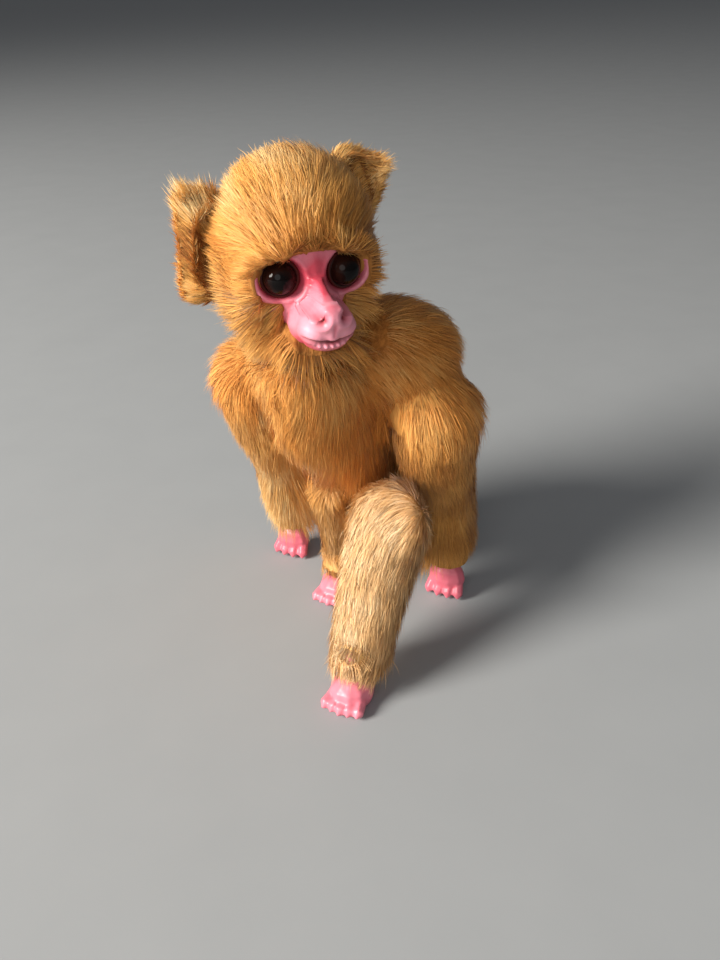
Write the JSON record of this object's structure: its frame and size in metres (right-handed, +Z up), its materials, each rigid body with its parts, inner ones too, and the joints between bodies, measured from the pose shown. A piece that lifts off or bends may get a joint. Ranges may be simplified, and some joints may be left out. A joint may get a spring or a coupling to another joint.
{
  "type": "toy monkey figure",
  "caption": "Small seated toy monkey with glued fur pelts over a moulded body, a moulded face, a turning head and limbs that swing on hidden cross rods.",
  "frame": {"origin": "on the flat seat face under the rump, at floor level", "axes": "+Z up through the figure, the chest faces -Y, +X to the figure's left"},
  "size_m": [0.074, 0.0744, 0.121],
  "materials": {
    "moulding": "matte",
    "fur_amber": "long fur pelt",
    "fur_gold": "long fur pelt",
    "fur_pale": "short fur pelt",
    "pink_moulding": "satin paint on a moulding",
    "eye_gloss": "high gloss",
    "rod_steel": "drawn wire"
  },
  "bodies": {
    "torso": {"torso_front_shell": "moulding", "torso_back_shell": "moulding", "chest_pelt": "fur_amber", "back_pelt": "fur_amber", "shoulder_rod": "rod_steel", "hip_rod": "rod_steel"},
    "head": {"head_front_shell": "moulding", "head_back_shell": "moulding", "face_mask": "pink_moulding", "eye_right": "eye_gloss", "eye_left": "eye_gloss", "crown_pelt": "fur_gold", "nape_pelt": "fur_gold", "ear_right": "fur_gold", "ear_left": "fur_gold", "neck_peg": "moulding"},
    "arm_right": {"arm_right_core": "moulding", "arm_right_pelt": "fur_amber", "hand_right": "pink_moulding"},
    "arm_left": {"arm_left_core": "moulding", "arm_left_pelt": "fur_amber", "hand_left": "pink_moulding"},
    "leg_right": {"leg_right_core": "moulding", "leg_right_pelt": "fur_pale", "foot_right": "pink_moulding"},
    "leg_left": {"leg_left_core": "moulding", "leg_left_pelt": "fur_pale", "foot_left": "pink_moulding"}
  },
  "joints": [
    {"name": "neck_turn", "type": "hinge", "parent": "torso", "child": "head", "pos_m": [-0.0035, -0.025, 0.078], "axis": [0, 0, 1], "range_deg": [-106, 24]},
    {"name": "shoulder_right", "type": "hinge", "parent": "torso", "child": "arm_right", "pos_m": [-0.0268, -0.008, 0.059], "axis": [1, 0, 0], "range_deg": [-50, 40]},
    {"name": "shoulder_left", "type": "hinge", "parent": "torso", "child": "arm_left", "pos_m": [0.022, -0.008, 0.059], "axis": [1, 0, 0], "range_deg": [0, 40]},
    {"name": "hip_right", "type": "hinge", "parent": "torso", "child": "leg_right", "pos_m": [-0.0082, 0, 0.017], "axis": [1, 0, 0], "range_deg": [-5, 4]},
    {"name": "hip_left", "type": "hinge", "parent": "torso", "child": "leg_left", "pos_m": [0.0082, 0, 0.017], "axis": [1, 0, 0], "range_deg": [-2, 20]}
  ]
}
